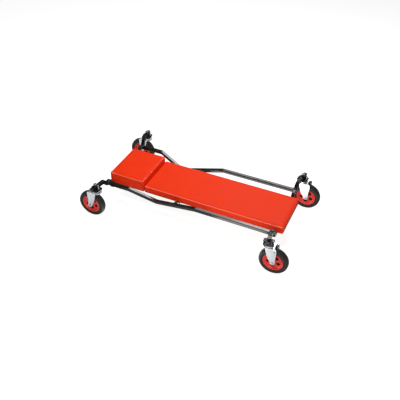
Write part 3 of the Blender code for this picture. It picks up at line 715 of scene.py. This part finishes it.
class CREEPER_OT_frame(bpy.types.Operator):
    """Frame details: weld beads, tube plugs and deck bolts"""
    bl_idname = "creeper.frame"
    bl_label = "Frame details"

    def execute(self, context):
        radius = context.scene.creeper_sizes.weld_radius
        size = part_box("cross_member_head")[1][0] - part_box("cross_member_head")[0][0]
        for side in ("near", "far"):
            for sign, end in ((-1, "head"), (1, "foot")):
                bm = bmesh.new()
                joint = end_centre("side_rail_" + side, (sign, 0, 0))
                weld_ring(bm, joint, (sign, 0, 0), size, radius, side + end)
                outward = -1 if side == "near" else 1
                joint = end_centre("cross_member_" + end, (0, outward, 0))
                weld_ring(bm, joint, (0, outward, 0), size, radius, end + side)
                add_piece("corner_welds_%s_%s" % (end, side), bm, "weld", "frame")
        bm = bmesh.new()
        for outward in (-1, 1):
            joint = end_centre("cross_member_middle", (0, outward, 0))
            weld_ring(bm, joint, (0, outward, 0), size, radius, outward)
        add_piece("middle_welds", bm, "weld", "frame")
        for end, side in CORNERS:
            self.tube_plug(end + "_" + side, size)
        bm = bmesh.new()
        for node in ("cross_member_head", "cross_member_middle", "cross_member_foot"):
            middle = centre_of(node)
            for y in (-DECK_BOLT_Y, DECK_BOLT_Y):
                place = (Matrix.Translation((middle.x, y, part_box(node)[0][2]))
                         @ Matrix.Rotation(math.pi, 4, "X"))
                hex_bolt(bm, place, 10 * MM, 4.5 * MM, 3 * MM, 3 * MM)
        add_piece("deck_bolts", bm, "steel", "frame")
        self.staples()
        return {"FINISHED"}

    def tube_plug(self, corner, size):
        """Plastic cap over the end of an arm."""
        king = centre_of("king_bolt_" + corner)
        direction = Vector((math.copysign(ARM_SLANT, king.x), math.copysign(1, king.y), 0.0)).normalized()
        centre = end_centre("arm_" + corner, direction)
        turn = Vector((0, 0, 1)).rotation_difference(direction).to_matrix().to_4x4()
        upright = Matrix.Translation(centre) @ turn
        bm = bmesh.new()
        rings = []
        for height, inset in ((0.2 * MM, 0.0), (1.6 * MM, 0.0), (2.4 * MM, 1.0 * MM), (2.7 * MM, 4.0 * MM)):
            outline = square_outline(size + 0.6 * MM - 2 * inset, max(3.2 * MM - inset, 0.6 * MM), 4)
            rings.append([bm.verts.new(upright @ (p + Vector((0, 0, height)))) for p in outline])
        for ring_a, ring_b in zip(rings, rings[1:]):
            bridge(bm, ring_a, ring_b)
        bm.faces.new(reversed(rings[0]))
        bm.faces.new(rings[-1])
        add_piece("tube_plug_" + corner, bm, "plug", "frame")

    def staples(self):
        """Staples that hold the vinyl under the board."""
        low, high = (Vector(corner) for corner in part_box("deck_board"))
        bm = bmesh.new()
        inset = STAPLE_INSET
        spots = []
        for k in range(STAPLE_ROW + 1):
            x = low.x + inset + (high.x - low.x - 2 * inset) * k / STAPLE_ROW
            spots += [(x, low.y + inset, False), (x, high.y - inset, False)]
        for k in range(1, STAPLE_END_ROW):
            y = low.y + inset + (high.y - low.y - 2 * inset) * k / STAPLE_END_ROW
            spots += [(low.x + inset, y, True), (high.x - inset, y, True)]
        cross = [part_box("cross_member_" + part) for part in ("head", "middle", "foot")]
        for x, y, turned in spots:
            if any(box[0][0] - CROSS_ROOM < x < box[1][0] + CROSS_ROOM for box in cross):
                continue
            half = STAPLE_HALF[::-1] if turned else STAPLE_HALF
            made = bmesh.ops.create_cube(bm, size=1.0)["verts"]
            for vertex in made:
                vertex.co = Vector((x + vertex.co.x * 2 * half[0], y + vertex.co.y * 2 * half[1],
                                    low.z - 0.25 * MM + vertex.co.z * STAPLE_DEPTH))
        bmesh.ops.bevel(bm, geom=bm.edges[:], offset=0.15 * MM, segments=1, affect="EDGES")
        add_piece("staples", bm, "steel", "frame")


class CREEPER_OT_casters(bpy.types.Operator):
    """Caster details: studs, nut inserts and dust covers"""
    bl_idname = "creeper.casters"
    bl_label = "Caster details"

    def execute(self, context):
        for end, side in CORNERS:
            corner = end + "_" + side
            king_low, king_high = (Vector(c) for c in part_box("king_bolt_" + corner))
            king = (king_low + king_high) / 2
            top = king_high.z
            bm = bmesh.new()
            ring = [(top - 3.4 * MM, 0.0077), (top - 3.4 * MM, 0.0104), (top - 1.9 * MM, 0.0100),
                    (top - 1.5 * MM, 0.0077)]
            turn_section(bm, ring, 32, Matrix.Translation((king.x, king.y, 0)))
            add_piece("nut_insert_" + corner, bm, "insert", "frame")
            bm = bmesh.new()
            bolt = max((centre_of("plate_bolt_%s_%s" % (corner, tag)) for tag in "ab"), key=lambda p: p.x)
            bolt_top = max(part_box("plate_bolt_%s_%s" % (corner, tag))[1][2] for tag in "ab")
            place = Matrix.Translation((bolt.x, bolt.y, bolt_top + 0.1 * MM))
            threaded_stud(bm, place, 4.0 * MM, top - bolt_top - 2 * MM, 1.25 * MM)
            add_piece("plate_stud_" + corner, bm, "zinc", "frame")
            bm = bmesh.new()
            race_low, race_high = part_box("swivel_bearing_" + corner)
            reach = (race_high[0] - race_low[0]) / 2
            ring = [(race_high[2] - 5.2 * MM, reach + 0.4 * MM), (race_high[2] - 5.2 * MM, reach + 3.6 * MM),
                    (race_high[2] - 4.2 * MM, reach + 4.4 * MM), (race_high[2] - 0.4 * MM, reach + 2.0 * MM),
                    (race_high[2] - 0.1 * MM, reach + 0.4 * MM)]
            turn_section(bm, ring, 48, Matrix.Translation((king.x, king.y, 0)))
            add_piece("dust_cover_" + corner, bm, "zinc", "frame")
        return {"FINISHED"}


class CREEPER_OT_finishes(bpy.types.Operator):
    """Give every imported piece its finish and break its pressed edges"""
    bl_idname = "creeper.finishes"
    bl_label = "Finishes"

    def execute(self, context):
        width = context.scene.creeper_sizes.edge_break
        slots = {part["node"]: part["material_slot"] for part in frame["record"]["subparts"]}
        for node, obj in NODES.items():
            finish = material("satin_black" if node.startswith("arm") else slots[node])
            obj.data.materials.clear()
            obj.data.materials.append(finish)
            if node.startswith(("fork", "brake", "arm_plate", "top_plate", "axle_bolt", "plate_bolt",
                                "king_bolt")):
                soften(obj, width)
            obj.data.shade_smooth()
            obj.data.set_sharp_from_angle(angle=math.radians(35))
        return {"FINISHED"}


# ---------------------------------------------------------------- stage


def area_light(name, location, target, size, power):
    data = bpy.data.lights.new(name, "AREA")
    data.shape = "RECTANGLE"
    data.size, data.size_y = size
    data.energy = power
    light = bpy.data.objects.new(name, data)
    bpy.context.scene.collection.objects.link(light)
    light.location = location
    light.rotation_euler = (Vector(target) - Vector(location)).to_track_quat("-Z", "Y").to_euler()


# Name, place, target, size and power; the far boxes are mirrored in the tops of the rails.
LIGHTS = (("far_softbox", (0.05, 2.168, 2.7675), (0.15, -0.172, 0.3675), (1.15, 1.42), 68.7),
          ("far_softbox_wing", (-0.95, 2.286, 2.652), (-0.85, -0.054, 0.252), (0.80, 1.75), 20.3),
          ("overhead", (-0.3, -1.3, 3.6), (0.0, 0.0, 0.2), (2.6, 0.5), 60.0),
          ("front_fill", (1.6, -3.4, 1.5), (0.2, 0.0, 0.2), (1.8, 1.2), 42.0))
# Name, place on the floor, size and power; these shine upwards into the sides of the rails.
STRIP_LIGHTS = (("foot_strip", (0.335, -0.50), (0.39, 0.24), 1.33),
                ("under_strip", (0.30, 0.04), (0.70, 0.20), 2.8),
                ("head_strip", (-0.53, -0.36), (0.10, 0.12), 0.14))
LENS = 50.63
SENSOR = 36.0
EYE = (1.3242, -2.8368, 2.7178)
AIM = (0.0030, -0.0173, 0.1000)
FLOOR_HALF = 20.0


class CREEPER_OT_stage(bpy.types.Operator):
    """Pale floor, soft lights, world and camera"""
    bl_idname = "creeper.stage"
    bl_label = "Stage"

    def execute(self, context):
        scene = context.scene
        scene.view_settings.view_transform = "Standard"
        bm = bmesh.new()
        bmesh.ops.create_grid(bm, x_segments=4, y_segments=4, size=FLOOR_HALF)
        mesh = bpy.data.meshes.new("floor")
        bm.to_mesh(mesh)
        bm.free()
        floor = bpy.data.objects.new("floor", mesh)
        floor.location.z = CAD_BOX[0][2] - 0.1 * MM
        scene.collection.objects.link(floor)
        mesh.materials.append(self.pale_floor())

        world = bpy.data.worlds.new("studio")
        world.use_nodes = True
        scene.world = world
        tree = world.node_tree
        background = tree.nodes["Background"]
        background.inputs["Color"].default_value = (1, 1, 1, 1)
        path = tree.nodes.new("ShaderNodeLightPath")
        strength = tree.nodes.new("ShaderNodeMapRange")
        tree.links.new(path.outputs["Is Camera Ray"], strength.inputs["Value"])
        strength.inputs["To Min"].default_value = 0.10
        strength.inputs["To Max"].default_value = 1.0
        tree.links.new(strength.outputs["Result"], background.inputs["Strength"])

        for name, place, target, size, power in LIGHTS:
            area_light(name, place, target, size, power)
        for name, spot, size, power in STRIP_LIGHTS:
            area_light(name, (*spot, 5 * MM), (*spot, 1.0), size, power)

        camera = bpy.data.cameras.new("camera")
        camera.lens = LENS
        camera.sensor_width = SENSOR
        eye = bpy.data.objects.new("camera", camera)
        scene.collection.objects.link(eye)
        eye.location = EYE
        aim = Vector(AIM) - eye.location
        eye.rotation_euler = aim.to_track_quat("-Z", "Y").to_euler()
        scene.camera = eye
        return {"FINISHED"}

    def pale_floor(self):
        """White seamless floor: almost shadowless to look at, a soft grey bounce on the piece."""
        f = Finish("pale_floor", (0.92, 0.92, 0.92), 0.9, Specular_IOR_Level=0.0)
        glow = f.node("ShaderNodeEmission", {}, {"Color": (1, 1, 1, 1), "Strength": 0.88})
        shadow = f.node("ShaderNodeBsdfDiffuse", {}, {"Color": (0.35, 0.35, 0.35, 1)})
        seen = f.node("ShaderNodeAddShader", {}, {0: glow, 1: shadow})
        direct = f.node("ShaderNodeLightPath", {}, {}, "Is Camera Ray")
        bounce = Term(f, f.shader.outputs["BSDF"])
        mixed = f.node("ShaderNodeMixShader", {}, {0: direct, 1: bounce, 2: seen})
        f.tree.links.new(mixed.socket, f.tree.nodes["Material Output"].inputs["Surface"])
        return f.material


# ---------------------------------------------------------------- add-on


OPERATORS = (CREEPER_OT_stage, CREEPER_OT_finishes, CREEPER_OT_frame, CREEPER_OT_casters, CREEPER_OT_wheels,
             CREEPER_OT_cushions)


class CREEPER_PT_panel(bpy.types.Panel):
    bl_idname = "CREEPER_PT_panel"
    bl_label = "Mechanics Creeper"
    bl_space_type = "VIEW_3D"
    bl_region_type = "UI"
    bl_category = "Creeper"

    def draw(self, context):
        for group in (context.scene.creeper_sizes, context.scene.creeper_colours):
            for key in group.__annotations__:
                self.layout.prop(group, key)
        for operator in OPERATORS:
            self.layout.operator(operator.bl_idname)


CLASSES = (CreeperSizes, CreeperColours) + OPERATORS + (CREEPER_PT_panel,)


def register():
    for cls in CLASSES:
        bpy.utils.register_class(cls)
    bpy.types.Scene.creeper_sizes = bpy.props.PointerProperty(type=CreeperSizes)
    bpy.types.Scene.creeper_colours = bpy.props.PointerProperty(type=CreeperColours)


def unregister():
    del bpy.types.Scene.creeper_colours
    del bpy.types.Scene.creeper_sizes
    for cls in reversed(CLASSES):
        bpy.utils.unregister_class(cls)


def main():
    register()
    bpy.ops.creeper.stage()
    bpy.ops.creeper.finishes()
    bpy.ops.creeper.frame()
    bpy.ops.creeper.casters()
    bpy.ops.creeper.wheels()
    bpy.ops.creeper.cushions()


if __name__ == "__main__":
    main()
